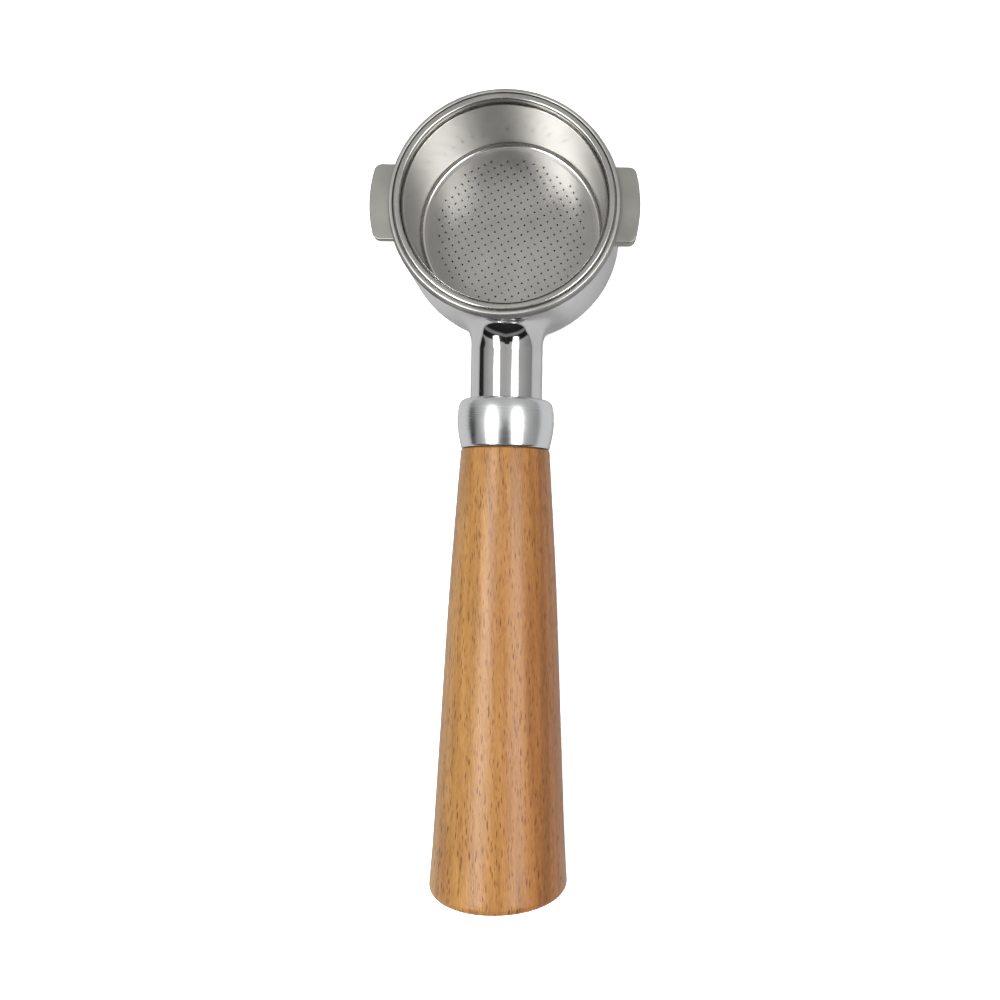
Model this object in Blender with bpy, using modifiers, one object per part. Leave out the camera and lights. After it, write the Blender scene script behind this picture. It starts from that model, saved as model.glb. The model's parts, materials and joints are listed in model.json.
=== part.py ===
"""A two-lug bottomless portafilter with a filter basket and a turned wooden handle.

It lies on a table: the ring's far bottom edge and the grip's end touch the table, so the ring leans a
little. +Z is up from the table, the handle points along -Y, and the origin is the centre of the base of
the bounding box.

The head's pieces are modelled in the head frame: Z along the ring's axis, 0 at the ring's bottom face.
The handle's pieces are modelled in the handle frame: Z along the handle, 0 on the ring's axis.
"""

import math

import bmesh
import bpy
from mathutils import Matrix, Vector

MM = 0.001
GAP = 0.3  # clearance between pieces that touch
CUTTER_MARGIN = 5.0  # how far a cutter reaches past the face it cuts

# Ring of the body
RING_HEIGHT = 30.0
RING_R = 35.1
RIM_R = 34.5
RIM_HEIGHT = 1.5
RIM_ROUND = 0.5
RING_BORE_R = 31.2
BOTTOM_ROUND = 2.0
SEAT_R = 33.3
SEAT_DEPTH = 1.1
GROOVE_Z = 15.0
GROOVE_HALF_HEIGHT = 0.9
GROOVE_R = 32.4

# Lugs: wedges whose undersides are ramps, which rise the same way round the ring
LUG_TIP_R = 40.5
LUG_ROOT_X = 25.0
LUG_WIDTH = 23.2
LUG_TOP_Z = 28.2
LUG_THIN = 2.2
LUG_THICK = 3.8
LUG_CORNER_R = 2.4
LUG_EDGE_BEVEL = 0.4

# Neck and handle line
HANDLE_Z = 13.5
HANDLE_DROOP = math.radians(2.3)
NECK_R = 11.2
NECK_START = 26.0
NECK_END = 58.4
NECK_END_CHAMFER = 0.5
NECK_FILLET_R = 9.0
NECK_SINK = 0.3
NECK_LOWEST_Z = 0.3

# Basket
MOUTH_R = 30.9
MOUTH_ROUND = 0.7
LIP_R = 33.0
LIP_ROUND = 0.7
LIP_TOP_Z = 30.3
LIP_THICKNESS = 1.1
BASKET_TOP_R = 30.2
BASKET_FLOOR_R = 29.2
BASKET_FLOOR_Z = 5.1
BASKET_FLOOR_ROUND = 0.8
BASKET_WALL = 0.6

# Retaining wire
WIRE_R = 0.55
WIRE_RING_R = 31.15
WIRE_OPENING = math.radians(40.0)

# Stud and its hardware
STUD_R = 5.7
STUD_HOLE_R = STUD_R + GAP
STUD_START = 41.0
STUD_END = 88.0
STUD_HOLE_START = 40.5
STUD_CHAMFER = 1.0
LOCK_WASHER_R = 10.3
LOCK_WASHER_THICKNESS = 2.2
LOCK_WASHER_SLIT = 1.8
LOCK_WASHER_SLANT = math.radians(25.0)
JAM_NUT_FLATS = 18.0
JAM_NUT_THICKNESS = 6.0
GRIP_WASHER_R = 11.3
GRIP_WASHER_THICKNESS = 1.2
WASHER_BORE_R = STUD_HOLE_R + 0.2
LOCK_WASHER_START = NECK_END + GAP
JAM_NUT_START = LOCK_WASHER_START + LOCK_WASHER_THICKNESS + GAP
GRIP_WASHER_START = JAM_NUT_START + JAM_NUT_THICKNESS + GAP

# Ferrule
FERRULE_START = 56.9
FERRULE_BELLY = 63.0
FERRULE_END = 71.8
FERRULE_FRONT_R = 13.6
FERRULE_BELLY_R = 15.05
FERRULE_BACK_R = 13.8
FERRULE_LIP = 1.6
FERRULE_LIP_BORE_R = NECK_R + GAP
FERRULE_BORE_R = 12.2

# Wooden grip
GRIP_START = FERRULE_END + GAP
GRIP_END = 207.4
GRIP_FRONT_R = 13.75
GRIP_SHOULDER = (84.0, 14.6)
GRIP_SLIM = (97.0, 15.46)
GRIP_MIDDLE = (119.0, 16.8)
GRIP_SWELL = (163.0, 18.85)
GRIP_PALM = (190.0, 20.15)
GRIP_END_R = 21.15
GRIP_END_ROUND = 2.4
TENON_R = FERRULE_BORE_R - GAP
TENON_START = 69.0
INSERT_R = 8.0
INSERT_START = 69.5
INSERT_END = 91.0
GRIP_BORE_R = STUD_R + 1.0
GRIP_BORE_END = 95.0

ROUND_STEPS = 64
HANDLE_STEPS = 48
SMALL_STEPS = 32

parts = bpy.data.collections.new("portafilter")
cutters = bpy.data.collections.new("cutters")


def clear_scene():
    for obj in list(bpy.data.objects):
        bpy.data.objects.remove(obj, do_unlink=True)


def material(name, color, roughness, metallic):
    made = bpy.data.materials.new(name)
    made.use_nodes = True
    shader = made.node_tree.nodes["Principled BSDF"]
    shader.inputs["Base Color"].default_value = (*color, 1.0)
    shader.inputs["Roughness"].default_value = roughness
    shader.inputs["Metallic"].default_value = metallic
    made.diffuse_color = (*color, 1.0)
    return made


def arc(centre, radius, start_deg, end_deg, steps):
    """Points of an arc in a profile's plane, as (r, z)."""
    points = []
    for i in range(steps + 1):
        angle = math.radians(start_deg + (end_deg - start_deg) * i / steps)
        points.append((centre[0] + radius * math.cos(angle), centre[1] + radius * math.sin(angle)))
    return points


def place(obj, collection, parent):
    collection.objects.link(obj)
    obj.parent = parent
    if collection is cutters:
        obj.hide_render = True
        obj.display_type = "WIRE"
    return obj


def turned(name, profile, parent, collection=parts, steps=ROUND_STEPS):
    """A profile of (r, z) in millimetres, turned about the parent's Z. A profile that starts and ends off
    the axis is closed on itself."""
    mesh = bpy.data.meshes.new(name)
    count = len(profile)
    edges = [(i, i + 1) for i in range(count - 1)]
    if profile[0][0] > 0.0:
        edges.append((count - 1, 0))
    mesh.from_pydata([(r * MM, 0.0, z * MM) for r, z in profile], edges, [])
    obj = place(bpy.data.objects.new(name, mesh), collection, parent)
    screw = obj.modifiers.new("turn", "SCREW")
    screw.axis = "Z"
    screw.angle = math.tau
    screw.steps = steps
    screw.render_steps = steps
    screw.use_merge_vertices = True
    screw.merge_threshold = 0.00001
    screw.use_smooth_shade = False
    return obj


def plate(name, outline, bottom, top, parent, collection=parts):
    """A flat outline of (x, y) in millimetres, extruded from bottom to top along the parent's Z."""
    mesh = bpy.data.meshes.new(name)
    shape = bmesh.new()
    face = shape.faces.new([shape.verts.new((x * MM, y * MM, bottom * MM)) for x, y in outline])
    raised = bmesh.ops.extrude_face_region(shape, geom=[face])
    moved = [item for item in raised["geom"] if isinstance(item, bmesh.types.BMVert)]
    bmesh.ops.translate(shape, verts=moved, vec=(0.0, 0.0, (top - bottom) * MM))
    bmesh.ops.recalc_face_normals(shape, faces=shape.faces)
    shape.to_mesh(mesh)
    shape.free()
    return place(bpy.data.objects.new(name, mesh), collection, parent)


def boolean(target, other, operation):
    modifier = target.modifiers.new(other.name, "BOOLEAN")
    modifier.operation = operation
    modifier.object = other
    modifier.solver = "EXACT"


def bevel(obj, width, segments=2, angle=40.0):
    modifier = obj.modifiers.new("edge", "BEVEL")
    modifier.width = width * MM
    modifier.segments = segments
    modifier.limit_method = "ANGLE"
    modifier.angle_limit = math.radians(angle)


def finish(obj, look):
    obj.data.materials.append(look)
    if obj.type == "MESH":
        obj.data.shade_smooth()
        obj.data.set_sharp_from_angle(angle=math.radians(35.0))


# Body


def lug_outline():
    """The right lug from above: an arc of the tip radius between rounded corners. Its root is inside the
    ring's wall."""
    half = LUG_WIDTH / 2
    corner_y = half - LUG_CORNER_R
    corner_x = math.sqrt((LUG_TIP_R - LUG_CORNER_R) ** 2 - corner_y**2)
    corner_angle = math.degrees(math.atan2(corner_y, corner_x))
    tip = arc((corner_x, -corner_y), LUG_CORNER_R, -90.0, -corner_angle, 4)
    tip += arc((0.0, 0.0), LUG_TIP_R, -corner_angle, corner_angle, 8)[1:-1]
    tip += arc((corner_x, corner_y), LUG_CORNER_R, corner_angle, 90.0, 4)
    return [(LUG_ROOT_X, half), *tip[::-1], (LUG_ROOT_X, -half)]


def make_lug(name, turn, head):
    """A lug with its underside sloped, thick at its -Y end before it is turned about the ring's axis."""
    middle = (LUG_THIN + LUG_THICK) / 2
    slope = (LUG_THICK - LUG_THIN) / LUG_WIDTH
    lug = plate(name, lug_outline(), LUG_TOP_Z - middle, LUG_TOP_Z, head, cutters)
    for vertex in lug.data.vertices:
        if vertex.co.z < (LUG_TOP_Z - LUG_THIN / 2) * MM:
            vertex.co.z += slope * vertex.co.y
    lug.rotation_euler.z = turn
    bevel(lug, LUG_EDGE_BEVEL)
    return lug


def ring_profile():
    """The ring's outside: its rim stands back a little above the lugs."""
    rim_low = RING_HEIGHT - RIM_HEIGHT
    rim = arc((RIM_R - RIM_ROUND, RING_HEIGHT - RIM_ROUND), RIM_ROUND, 90.0, 0.0, 3)
    shoulder = [(RIM_R, rim_low), (RING_R, rim_low - (RING_R - RIM_R))]
    bottom = arc((RING_R - BOTTOM_ROUND, BOTTOM_ROUND), BOTTOM_ROUND, 0.0, -90.0, 4)
    return [(0.0, RING_HEIGHT)] + rim + shoulder + bottom + [(0.0, 0.0)]


def neck_profile():
    """The neck from its end down to its root. The root flares in a fillet that would be tangent to a circle
    just inside the ring's wall, so that it meets the wall at a clear line."""
    fillet_r = NECK_R + NECK_FILLET_R
    fillet_s = math.sqrt((RING_R - NECK_SINK + NECK_FILLET_R) ** 2 - fillet_r**2)
    tangent = -180.0 + math.degrees(math.atan2(fillet_s, fillet_r))
    flare = arc((fillet_r, fillet_s), NECK_FILLET_R, -180.0, tangent, 5)
    end = [(0.0, NECK_END), (NECK_R - NECK_END_CHAMFER, NECK_END), (NECK_R, NECK_END - NECK_END_CHAMFER)]
    return end + flare + [(flare[-1][0], NECK_START), (0.0, NECK_START)]


def bore_profile():
    """What the ring's inside removes: the bore, the basket's seat and the wire's groove."""
    low, high = GROOVE_Z - GROOVE_HALF_HEIGHT, GROOVE_Z + GROOVE_HALF_HEIGHT
    seat_z = RING_HEIGHT - SEAT_DEPTH
    above, below = RING_HEIGHT + CUTTER_MARGIN, -CUTTER_MARGIN
    return [
        (0.0, above),
        (SEAT_R, above),
        (SEAT_R, seat_z),
        (RING_BORE_R, seat_z),
        (RING_BORE_R, high),
        (GROOVE_R, high),
        (GROOVE_R, low),
        (RING_BORE_R, low),
        (RING_BORE_R, below),
        (0.0, below),
    ]


def drill(name, start, end, handle):
    """A cutter for the stud's hole, from start to just past end."""
    past = end + CUTTER_MARGIN
    profile = [(0.0, past), (STUD_HOLE_R, past), (STUD_HOLE_R, start), (0.0, start)]
    return turned(name, profile, handle, cutters, steps=SMALL_STEPS)


def make_body(head, handle, chrome):
    body = turned("portafilter_body", ring_profile(), head)
    for name, turn in (("lug_right", 0.0), ("lug_left", math.pi)):
        boolean(body, make_lug(name, turn, head), "UNION")
    neck = turned("neck", neck_profile(), handle, cutters, steps=HANDLE_STEPS)
    reach = NECK_END + 10.0
    below = [(-reach, -reach), (reach, -reach), (reach, 0.0), (-reach, 0.0)]
    boolean(neck, plate("under_neck", below, -NECK_R, NECK_LOWEST_Z, head, cutters), "DIFFERENCE")
    boolean(neck, drill("stud_hole", STUD_HOLE_START, NECK_END, handle), "DIFFERENCE")
    boolean(body, neck, "UNION")
    boolean(body, turned("ring_bore", bore_profile(), head, cutters), "DIFFERENCE")
    finish(body, chrome)


# Basket and its retaining wire


def make_basket(head, steel):
    floor_round = BASKET_FLOOR_ROUND
    corner = (BASKET_FLOOR_R - floor_round, BASKET_FLOOR_Z + floor_round)
    under_z = LIP_TOP_Z - LIP_THICKNESS
    inner = [(0.0, BASKET_FLOOR_Z)] + arc(corner, floor_round, -90.0, 0.0, 3)
    inner += [(BASKET_TOP_R, under_z - 1.0), (BASKET_TOP_R + 0.2, under_z)]
    inner += arc((MOUTH_R + MOUTH_ROUND, LIP_TOP_Z - MOUTH_ROUND), MOUTH_ROUND, 180.0, 90.0, 3)
    lip = arc((LIP_R - LIP_ROUND, LIP_TOP_Z - LIP_ROUND), LIP_ROUND, 90.0, 0.0, 3)
    under = [(LIP_R, under_z + 0.2), (LIP_R - 0.2, under_z), (BASKET_TOP_R + 1.0, under_z)]
    outer = [
        (BASKET_TOP_R + BASKET_WALL, under_z - 0.8),
        (BASKET_FLOOR_R + BASKET_WALL, BASKET_FLOOR_Z + 0.3),
        (BASKET_FLOOR_R - 0.3, BASKET_FLOOR_Z - BASKET_WALL),
        (0.0, BASKET_FLOOR_Z - BASKET_WALL),
    ]
    finish(turned("filter_basket", inner + lip + under + outer, head), steel)


def make_wire(head, steel):
    curve = bpy.data.curves.new("basket_spring", "CURVE")
    curve.dimensions = "3D"
    curve.bevel_depth = WIRE_R * MM
    curve.bevel_resolution = 2
    curve.use_fill_caps = True
    count = 40
    spline = curve.splines.new("POLY")
    spline.points.add(count - 1)
    for i, point in enumerate(spline.points):
        angle = math.pi / 2 + WIRE_OPENING / 2 + (math.tau - WIRE_OPENING) * i / (count - 1)
        x = WIRE_RING_R * math.cos(angle)
        y = WIRE_RING_R * math.sin(angle)
        point.co = (x * MM, y * MM, GROOVE_Z * MM, 1.0)
    finish(place(bpy.data.objects.new("basket_spring", curve), parts, head), steel)


# Stud and its hardware


def make_stud(handle, steel):
    profile = [
        (0.0, STUD_END),
        (STUD_R - STUD_CHAMFER, STUD_END),
        (STUD_R, STUD_END - STUD_CHAMFER),
        (STUD_R, STUD_START + STUD_CHAMFER),
        (STUD_R - STUD_CHAMFER, STUD_START),
        (0.0, STUD_START),
    ]
    finish(turned("handle_stud", profile, handle, steps=SMALL_STEPS), steel)


def flat_ring(name, outer_r, inner_r, start, thickness, parent):
    end = start + thickness
    profile = [(outer_r, end), (outer_r, start), (inner_r, start), (inner_r, end)]
    return turned(name, profile, parent, steps=SMALL_STEPS)


def make_lock_washer(handle, steel):
    """A split washer: its slit is at a slant."""
    washer = flat_ring(
        "stud_lock_washer", LOCK_WASHER_R, WASHER_BORE_R, LOCK_WASHER_START, LOCK_WASHER_THICKNESS, handle
    )
    near, far, half = WASHER_BORE_R - 2.0, LOCK_WASHER_R + 4.0, LOCK_WASHER_SLIT / 2
    slit = [(near, -half), (far, -half), (far, half), (near, half)]
    cutter = plate("washer_slit", slit, -LOCK_WASHER_THICKNESS, LOCK_WASHER_THICKNESS, handle, cutters)
    cutter.location.z = (LOCK_WASHER_START + LOCK_WASHER_THICKNESS / 2) * MM
    cutter.rotation_euler.x = LOCK_WASHER_SLANT
    boolean(washer, cutter, "DIFFERENCE")
    finish(washer, steel)


def make_jam_nut(handle, steel):
    corner_r = JAM_NUT_FLATS / math.sqrt(3.0)
    hexagon = arc((0.0, 0.0), corner_r, 30.0, 330.0, 5)
    end = JAM_NUT_START + JAM_NUT_THICKNESS
    nut = plate("stud_jam_nut", hexagon, JAM_NUT_START, end, handle)
    boolean(nut, drill("nut_hole", JAM_NUT_START - CUTTER_MARGIN, end, handle), "DIFFERENCE")
    finish(nut, steel)


def make_grip_washer(handle, steel):
    washer = flat_ring(
        "grip_washer", GRIP_WASHER_R, WASHER_BORE_R, GRIP_WASHER_START, GRIP_WASHER_THICKNESS, handle
    )
    finish(washer, steel)


# Handle


def make_ferrule(handle, aluminium):
    """A barrel: it swells fast behind its front edge and narrows slowly towards the wood."""
    outside = [
        (FERRULE_BORE_R, FERRULE_END),
        (FERRULE_BACK_R - 0.2, FERRULE_END),
        (FERRULE_BACK_R, FERRULE_END - 0.2),
        (FERRULE_BELLY_R - 0.6, FERRULE_END - 3.1),
        (FERRULE_BELLY_R - 0.15, FERRULE_END - 6.0),
        (FERRULE_BELLY_R, FERRULE_BELLY),
        (FERRULE_BELLY_R - 0.15, FERRULE_START + 3.3),
        (FERRULE_BELLY_R - 0.5, FERRULE_START + 1.4),
        (FERRULE_FRONT_R + 0.4, FERRULE_START + 0.4),
        (FERRULE_FRONT_R, FERRULE_START),
    ]
    step = FERRULE_START + FERRULE_LIP
    inside = [(FERRULE_LIP_BORE_R, FERRULE_START), (FERRULE_LIP_BORE_R, step), (FERRULE_BORE_R, step)]
    finish(turned("ferrule", outside + inside, handle, steps=HANDLE_STEPS), aluminium)


def grip_profile():
    """The grip's outside and its tenon, then the bore for the insert and the stud."""
    corner = GRIP_END - GRIP_END_ROUND
    profile = [(0.0, GRIP_END)]
    profile += arc((GRIP_END_R - GRIP_END_ROUND, corner), GRIP_END_ROUND, 90.0, 0.0, 4)
    profile += [(r, s) for s, r in (GRIP_PALM, GRIP_SWELL, GRIP_MIDDLE, GRIP_SLIM, GRIP_SHOULDER)]
    profile += [
        (GRIP_FRONT_R + 0.1, GRIP_START + 1.5),
        (GRIP_FRONT_R, GRIP_START + 0.3),
        (GRIP_FRONT_R - 0.3, GRIP_START),
        (TENON_R, GRIP_START),
        (TENON_R, TENON_START),
    ]
    bore = [
        (INSERT_R + GAP, TENON_START),
        (INSERT_R + GAP, INSERT_END + GAP),
        (GRIP_BORE_R, INSERT_END + GAP),
        (GRIP_BORE_R, GRIP_BORE_END),
        (0.0, GRIP_BORE_END),
    ]
    return profile + bore


def make_grip(handle, beech):
    finish(turned("wooden_grip", grip_profile(), handle, steps=HANDLE_STEPS), beech)


def make_insert(handle, brass):
    length = INSERT_END - INSERT_START
    insert = flat_ring("threaded_insert", INSERT_R, STUD_HOLE_R, INSERT_START, length, handle)
    finish(insert, brass)


# Placing


def rest_tilt():
    """The tilt that brings the ring's far bottom edge and the grip's lower end onto one plane. Both are
    arcs seen from the side, so the plane is their common tangent."""
    ring = Vector((RING_R - BOTTOM_ROUND, BOTTOM_ROUND))
    along = Vector((-math.cos(HANDLE_DROOP), -math.sin(HANDLE_DROOP)))
    below = Vector((-along.y, along.x))
    corner = GRIP_END - GRIP_END_ROUND
    grip = Vector((0.0, HANDLE_Z)) + along * corner + below * (GRIP_END_R - GRIP_END_ROUND)
    line = ring - grip
    lean = math.atan2(line.y, line.x)
    return lean + math.asin((GRIP_END_ROUND - BOTTOM_ROUND) / line.length)


def stand_on_table(root):
    """Moves the assembly so that the centre of the base of its bounding box is the origin."""
    bpy.context.view_layer.update()
    graph = bpy.context.evaluated_depsgraph_get()
    low = Vector((math.inf,) * 3)
    high = -low
    for obj in parts.objects:
        if obj.type == "EMPTY":
            continue
        evaluated = obj.evaluated_get(graph)
        mesh = evaluated.to_mesh()
        for vertex in mesh.vertices:
            point = evaluated.matrix_world @ vertex.co
            low = Vector(map(min, low, point))
            high = Vector(map(max, high, point))
        evaluated.to_mesh_clear()
    root.location -= Vector(((low.x + high.x) / 2, (low.y + high.y) / 2, low.z))


def empty(name, parent=None):
    obj = bpy.data.objects.new(name, None)
    parts.objects.link(obj)
    obj.parent = parent
    return obj


def main():
    clear_scene()
    bpy.context.scene.collection.children.link(parts)
    bpy.context.scene.collection.children.link(cutters)
    chrome = material("chrome", (0.80, 0.81, 0.82), 0.08, 1.0)
    steel = material("stainless_steel", (0.62, 0.61, 0.58), 0.28, 1.0)
    zinc = material("zinc_plated_steel", (0.55, 0.56, 0.58), 0.35, 1.0)
    aluminium = material("polished_aluminium", (0.78, 0.79, 0.81), 0.15, 1.0)
    brass = material("brass", (0.72, 0.55, 0.25), 0.3, 1.0)
    beech = material("lacquered_beech", (0.52, 0.28, 0.14), 0.3, 0.0)

    head = empty("head_frame")
    handle = empty("handle_frame", head)
    handle.location.z = HANDLE_Z * MM
    handle.rotation_euler.x = math.pi / 2 + HANDLE_DROOP

    make_body(head, handle, chrome)
    make_basket(head, steel)
    make_wire(head, steel)
    make_stud(handle, zinc)
    make_lock_washer(handle, zinc)
    make_jam_nut(handle, zinc)
    make_grip_washer(handle, zinc)
    make_ferrule(handle, aluminium)
    make_grip(handle, beech)
    make_insert(handle, brass)

    head.matrix_world = Matrix.Rotation(-rest_tilt(), 4, "X")
    stand_on_table(head)


main()
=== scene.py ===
"""The looks of a bottomless portafilter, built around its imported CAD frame.

Every piece is modelled in millimetres in one of two local frames, which come from the record: the head's
(Z up the ring's axis, 0 at its bottom face, -Y towards the handle) and the handle's (Z outward along the
handle, 0 on the ring's axis, Y up).
"""

import json
import math

import bmesh
import bpy
from mathutils import Matrix, Vector


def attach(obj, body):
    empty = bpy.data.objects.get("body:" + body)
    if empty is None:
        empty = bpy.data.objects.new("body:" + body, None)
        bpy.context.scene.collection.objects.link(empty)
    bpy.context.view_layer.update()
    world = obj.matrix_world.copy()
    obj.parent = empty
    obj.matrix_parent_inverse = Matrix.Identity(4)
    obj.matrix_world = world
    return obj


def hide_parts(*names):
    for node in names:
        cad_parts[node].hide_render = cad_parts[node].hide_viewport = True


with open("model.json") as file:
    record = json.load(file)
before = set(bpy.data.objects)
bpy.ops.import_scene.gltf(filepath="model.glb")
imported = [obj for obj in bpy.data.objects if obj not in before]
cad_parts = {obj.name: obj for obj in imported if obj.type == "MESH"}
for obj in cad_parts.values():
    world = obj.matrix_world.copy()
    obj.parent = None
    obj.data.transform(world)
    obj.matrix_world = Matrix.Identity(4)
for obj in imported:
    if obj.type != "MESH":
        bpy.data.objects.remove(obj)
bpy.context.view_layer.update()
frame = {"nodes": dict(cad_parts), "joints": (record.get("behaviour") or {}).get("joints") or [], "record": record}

MM = 0.001

# Ring of the body
RING_R = 35.1
RING_HEIGHT = 30.0
RIM_R = 34.5
RIM_LOW = 28.5
RIM_ROUND = 0.5
SHOULDER_Z = 27.9
BOTTOM_ROUND = 2.0
BORE_R = 31.2
SEAT_R = 33.3
SEAT_DEPTH = 1.1
GROOVE_R = 32.4
GROOVE_LOW = 14.1
GROOVE_HIGH = 15.9
RING_SIDES = 256

# Lugs
LUG_TIP_R = 40.5
LUG_ROOT_R = 33.6
LUG_WIDTH = 23.2
LUG_TOP = 28.2
LUG_THIN = 2.2
LUG_THICK = 3.8
LUG_CORNER_R = 2.4
LUG_EDGE_ROUND = 0.4

# Neck
NECK_R = 11.2
NECK_END = 58.4
NECK_FILLET_R = 9.0
NECK_SIDES = 128
STUD_HOLE_R = 6.0
STUD_HOLE_START = 40.5

# Basket
MOUTH_R = 31.05
MOUTH_ROUND = 0.65
CREASE_DROP = 1.0
CREASE_DEPTH = 2.4
LIP_ROUND = 0.7
LIP_THICKNESS = 1.1
WALL_TOP_R = 30.2
WALL_FLOOR_R = 29.2
WALL_THICKNESS = 0.6
FLOOR_Z = 5.1
FLOOR_ROUND = 1.25
FLOOR_CREASE_R = 27.3
HOLE_FIELD_R = 24.4
HOLE_PITCH = 2.39
HOLE_R = 0.3
HOLE_ROWS_TURN = math.radians(28.0)

# Threads and hardware
THREAD_PITCH = 1.75
THREAD_DEPTH = 0.9
NUT_FLATS = 18.0
WASHER_SLIT = 1.8
WASHER_SLANT = math.radians(25.0)
WIRE_R = 0.55

# Handle
FERRULE_LIP_BORE_R = 11.5
FERRULE_BORE_R = 12.2
TENON_R = 11.9
INSERT_R = 8.0
HANDLE_SIDES = 160

# The wood's flecks: spacing round the grip, spacing along it, size in cells and strength
FLECKS = (
    (0.75, 5.2, 0.08, 0.9),
    (1.0, 7.0, 0.09, 1.0),
    (0.6, 4.0, 0.07, 0.8),
    (0.85, 6.0, 0.08, 1.0),
)
FLECK_SLANT = math.radians(-4.0)
SKIN_R = 17.0

# Studio: the room's brightness by world direction, from its left (-1) to its right (1)
ROOM_LEVELS = (
    (-1.0, 0.02),
    (-0.955, 0.03),
    (-0.925, 0.38),
    (-0.75, 0.58),
    (0.0, 0.54),
    (0.3, 0.62),
    (0.81, 0.53),
    (0.93, 0.42),
    (1.0, 0.33),
)

# A factor on it by how far a direction leans towards the handle's end, less the spread for each unit aside
OPERATOR_SPREAD = 0.3
OPERATOR_LEVELS = (
    (0.1, 1.0),
    (0.2, 0.03),
    (0.46, 0.03),
    (0.53, 0.45),
    (0.62, 0.45),
    (0.69, 0.03),
    (0.97, 0.05),
)

# Strip lights: angle from straight up and breadth in degrees, radiance, and turn in plan in degrees
STRIPS = {"left_strip": (-27.5, 22.0, 12.0, -6.0), "right_strip": (32.0, 25.0, 8.5, 6.0)}

# The floor's diffuse colour: to light and reflections, and to the camera, which sees it overexposed
FLOOR_LEVEL = 0.55
FLOOR_LEVEL_SEEN = 1.8

# Camera, and the dark card that stands for it in reflections
CAMERA_PLACE = (0.0254, 0.0006, 0.285)
CAMERA_ROLL = math.radians(0.78)
CAMERA_LENS = 30.73
CAMERA_SHIFT = (-0.086, -0.0066)
CARD_PLACE = (0.0254, -0.03, 0.31)
CARD_SIZE = (0.075, 0.11)


def local_frame(origin, axis):
    """A frame in metres with its Z along an axis that has no X part."""
    z = Vector(axis).normalized()
    x = Vector((1.0, 0.0, 0.0))
    turn = Matrix((x, z.cross(x), z)).transposed().to_4x4()
    return Matrix.Translation(Vector(origin)) @ turn


def find_frames():
    mounts = {mount["name"]: mount for mount in frame["record"]["mounts"]}
    joints = {joint["name"]: joint for joint in frame["joints"]}
    bottom = mounts["ring_bottom"]
    on_axis = (0.0, *bottom["pos_m"][1:])
    screw = joints["handle_unscrew"]
    return local_frame(on_axis, -Vector(bottom["axis"])), local_frame(screw["pos_m"], screw["axis"])


HEAD, HANDLE = find_frames()


def span(node, local):
    """A CAD node's start and end along a local frame's Z and its radius about it, in millimetres."""
    inverse = local.inverted()
    points = [inverse @ vertex.co / MM for vertex in frame["nodes"][node].data.vertices]
    heights = [point.z for point in points]
    return min(heights), max(heights), max(math.hypot(point.x, point.y) for point in points)


# Mesh helpers. A shell is (vertices, faces) in millimetres.


def rounded(corners, steps=5):
    """A closed outline from corners given as (x, y, rounding radius)."""
    points = []
    count = len(corners)
    for i, (x, y, radius) in enumerate(corners):
        here = Vector((x, y))
        if radius == 0.0:
            points.append((x, y))
            continue
        before = Vector(corners[i - 1][:2]) - here
        after = Vector(corners[(i + 1) % count][:2]) - here
        half = before.angle(after) / 2
        centre = here + (before.normalized() + after.normalized()).normalized() * radius / math.sin(half)
        start = here + before.normalized() * radius / math.tan(half) - centre
        end = here + after.normalized() * radius / math.tan(half) - centre
        sweep = start.angle_signed(end)
        for step in range(steps + 1):
            angle = -sweep * step / steps
            turned = Matrix.Rotation(angle, 2) @ start
            points.append(tuple(centre + turned))
    return points


def smooth_line(points, steps=8):
    """A Catmull-Rom curve through points of any number of coordinates."""
    path = [Vector(point) for point in points]
    ends = [path[0] * 2 - path[1]] + path + [path[-1] * 2 - path[-2]]
    line = []
    for i in range(1, len(ends) - 2):
        a, b, c, d = ends[i - 1 : i + 3]
        for step in range(steps):
            t = step / steps
            bent = 2 * b + (c - a) * t + (2 * a - 5 * b + 4 * c - d) * t * t + (3 * b - a - 3 * c + d) * t**3
            line.append(tuple(bent / 2))
    return line + [tuple(path[-1])]


def grid_faces(rows, columns, close_rows=False, close_columns=True):
    """Quads over a grid of vertices stored row by row."""
    faces = []
    for i in range(rows if close_rows else rows - 1):
        for j in range(columns if close_columns else columns - 1):
            below = (i + 1) % rows * columns
            right = (j + 1) % columns
            faces.append((i * columns + j, i * columns + right, below + right, below + j))
    return faces


def lathe(profile, sides):
    """A closed profile of (r, z) turned about Z. Points on the axis make fans."""
    verts = []
    for r, z in profile:
        for j in range(sides):
            angle = math.tau * j / sides
            verts.append((r * math.cos(angle), r * math.sin(angle), z))
    return verts, grid_faces(len(profile), sides, close_rows=True)


def prism(outline, bottom, top, edge):
    """An outline of (x, y), extruded from bottom to top, its edges rounded."""
    count = len(outline)
    verts = []
    steps = 4
    for side in (-1, 1):
        for step in range(steps + 1):
            angle = math.pi / 2 * (step if side < 0 else steps - step) / steps
            inset = edge * (1 - math.sin(angle))
            z = bottom + edge * (1 - math.cos(angle)) if side < 0 else top - edge * (1 - math.cos(angle))
            for i in range(count):
                here = Vector(outline[i])
                along = (Vector(outline[(i + 1) % count]) - Vector(outline[i - 1])).normalized()
                inward = Vector((-along.y, along.x))
                point = here + inward * inset
                verts.append((point.x, point.y, z))
    rows = 2 * (steps + 1)
    faces = grid_faces(rows, count)
    faces.append(tuple(reversed(range(count))))
    faces.append(tuple(range((rows - 1) * count, rows * count)))
    return verts, faces


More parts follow.
